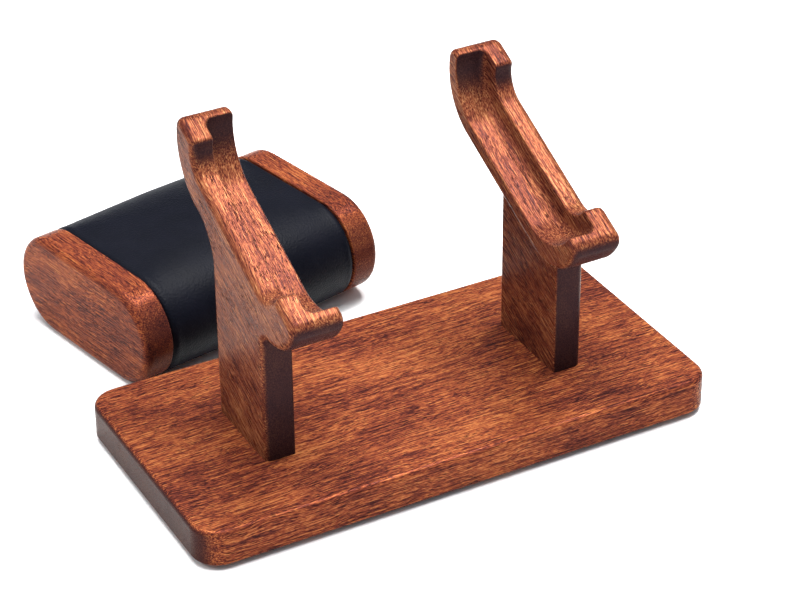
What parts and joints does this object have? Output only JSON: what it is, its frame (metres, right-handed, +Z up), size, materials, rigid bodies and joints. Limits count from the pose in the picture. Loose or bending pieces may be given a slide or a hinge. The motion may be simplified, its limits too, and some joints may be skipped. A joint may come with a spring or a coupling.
{
  "type": "watch stand",
  "caption": "Wooden watch stand: tilted cradles on posts over a board, with a removable obround leather cushion that has wooden end caps.",
  "frame": {"origin": "on the table under the centre of the board, on the underside of the rubber sheet", "axes": "+X along the board to the right, +Y towards the back, +Z up"},
  "size_m": [0.18, 0.1847, 0.1069],
  "materials": {
    "board_wood": "satin",
    "upright_wood": "satin",
    "cap_wood": "satin",
    "core_wood": "matte",
    "dowel_wood": "matte",
    "padding_foam": "matte",
    "cover_leather": "satin",
    "sheet_rubber": "matte",
    "screw_steel": "satin"
  },
  "bodies": {
    "stand": {"base_board": "board_wood", "base_sheet": "sheet_rubber", "left_upright": "upright_wood", "right_upright": "upright_wood", "upright_screw_1": "screw_steel", "upright_screw_2": "screw_steel", "upright_screw_3": "screw_steel", "upright_screw_4": "screw_steel"},
    "cushion": {"cushion_core": "core_wood", "cushion_padding": "padding_foam", "leather_cover": "cover_leather", "left_end_cap": "cap_wood", "right_end_cap": "cap_wood", "cap_dowel_1": "dowel_wood", "cap_dowel_2": "dowel_wood", "cap_dowel_3": "dowel_wood", "cap_dowel_4": "dowel_wood"}
  },
  "joints": [
    {"name": "cushion_lift", "type": "slide", "parent": "stand", "child": "cushion", "axis": [0, 0, 1], "range_m": [0, 0.15]}
  ]
}
